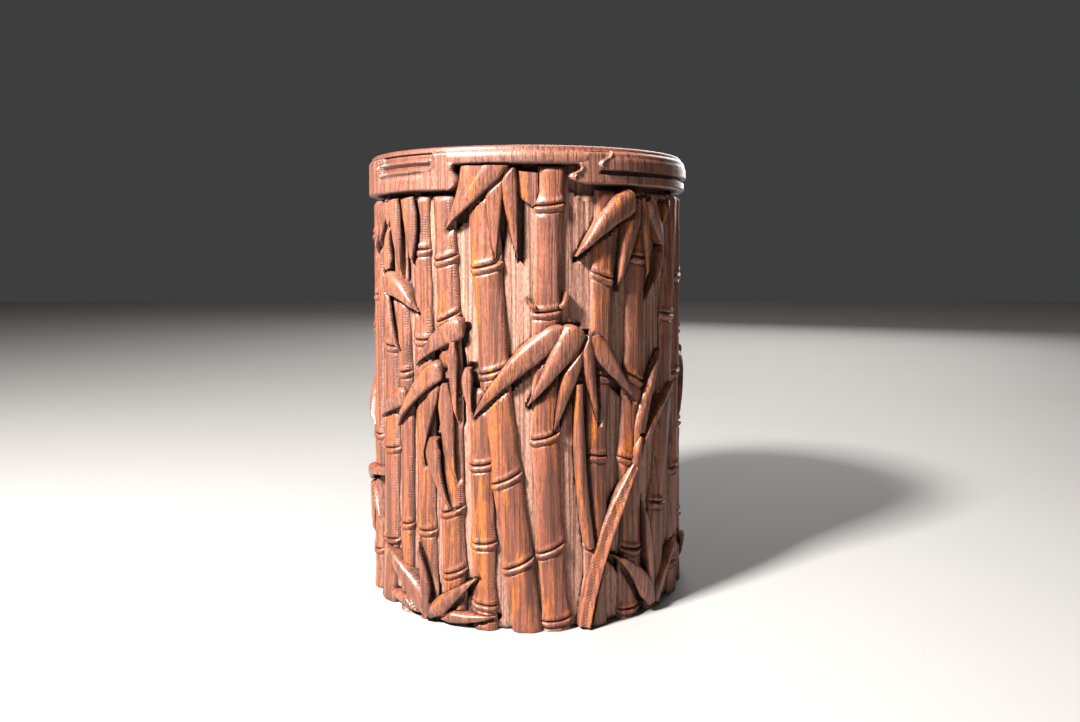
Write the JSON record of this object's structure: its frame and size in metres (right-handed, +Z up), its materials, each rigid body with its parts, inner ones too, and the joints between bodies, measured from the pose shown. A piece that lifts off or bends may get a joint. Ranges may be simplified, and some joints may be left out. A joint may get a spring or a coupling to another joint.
{
  "type": "brush holder pot",
  "caption": "Cylindrical carved bamboo pot with stalks and leaves in relief under a scrolled rim band, holding calligraphy brushes upright.",
  "frame": {"origin": "centre of the foot, on the plane the pot stands on", "axes": "+Z up along the culm's axis; -Y towards the side shown at the front"},
  "size_m": [0.1159, 0.1147, 0.15],
  "materials": {
    "culm_ground": "satin bamboo, cut ground with fine upright fibres",
    "rim_bamboo": "polished bamboo with fine upright fibres",
    "stalk_bamboo": "polished amber bamboo",
    "leaf_bamboo": "polished bamboo",
    "floor_wood": "oiled bamboo board"
  },
  "bodies": {
    "root": {"blade_mid_front": "leaf_bamboo", "blade_mid_left": "leaf_bamboo", "blade_mid_long": "leaf_bamboo", "blade_rim_left": "leaf_bamboo", "far_spray_01": "leaf_bamboo", "far_spray_02": "leaf_bamboo", "far_spray_03": "leaf_bamboo", "far_spray_04": "leaf_bamboo", "far_spray_05": "leaf_bamboo", "far_spray_06": "leaf_bamboo", "far_spray_07": "leaf_bamboo", "far_spray_08": "leaf_bamboo", "far_spray_09": "leaf_bamboo", "far_spray_10": "leaf_bamboo", "far_spray_11": "leaf_bamboo", "floor_board": "floor_wood", "floor_plug": "floor_wood", "leaf_left_small": "leaf_bamboo", "leaf_right_stem": "leaf_bamboo", "rim_band": "rim_bamboo", "shoot_centre": "leaf_bamboo", "spray_far_left": "leaf_bamboo", "spray_left_stalk": "leaf_bamboo", "spray_mid_left": "leaf_bamboo", "spray_mid_right": "leaf_bamboo", "spray_rim_centre": "leaf_bamboo", "spray_rim_left": "leaf_bamboo", "spray_rim_right": "leaf_bamboo", "spray_upper_left": "leaf_bamboo", "stalk_01": "stalk_bamboo", "stalk_02": "stalk_bamboo", "stalk_03": "stalk_bamboo", "stalk_04": "stalk_bamboo", "stalk_05": "stalk_bamboo", "stalk_06": "stalk_bamboo", "stalk_07": "stalk_bamboo", "stalk_08": "stalk_bamboo", "stalk_09": "stalk_bamboo", "stalk_10": "stalk_bamboo", "stalk_11": "stalk_bamboo", "stalk_12": "stalk_bamboo", "stalk_13": "stalk_bamboo", "stalk_14": "stalk_bamboo", "stalk_15": "stalk_bamboo", "stalk_16": "stalk_bamboo", "stalk_17": "stalk_bamboo", "stalk_18": "stalk_bamboo", "stalk_19": "stalk_bamboo", "stalk_20": "stalk_bamboo", "stalk_21": "stalk_bamboo", "stalk_22": "stalk_bamboo", "stalk_23": "stalk_bamboo", "stalk_24": "stalk_bamboo", "stalk_25": "stalk_bamboo", "stalk_26": "stalk_bamboo", "stalk_27": "stalk_bamboo", "stem_long_right": "leaf_bamboo", "tuft_foot_left": "leaf_bamboo", "tuft_foot_right": "leaf_bamboo", "wall": "culm_ground"}
  },
  "joints": []
}
